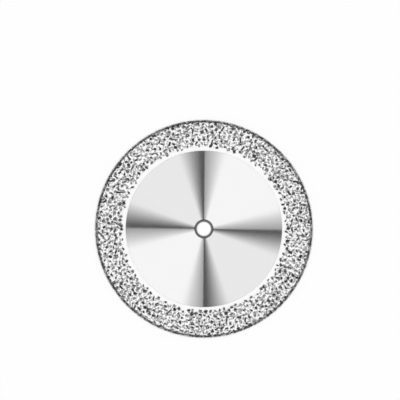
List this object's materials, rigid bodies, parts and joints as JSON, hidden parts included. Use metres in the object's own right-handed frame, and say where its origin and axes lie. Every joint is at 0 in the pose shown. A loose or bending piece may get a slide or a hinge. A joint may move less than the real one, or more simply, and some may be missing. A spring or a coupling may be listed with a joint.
{
  "type": "double-sided diamond disc",
  "caption": "Thin flat steel disc with a small central bore and a band of diamond crystals in nickel over the rim of both faces and the cutting edge.",
  "frame": {"origin": "centre of the bore, on the disc's middle plane", "axes": "+Z along the bore axis, out of the front face; +X and +Y lie in the disc's plane, in no marked direction"},
  "size_m": [0.022, 0.022, 0.0004],
  "materials": {
    "blank_steel": "turned and polished, with fine concentric lines",
    "diamond_nickel": "satin nickel with grey diamond crystals"
  },
  "bodies": {
    "root": {"steel_blank": "blank_steel", "diamond_coat": "diamond_nickel"}
  },
  "joints": []
}
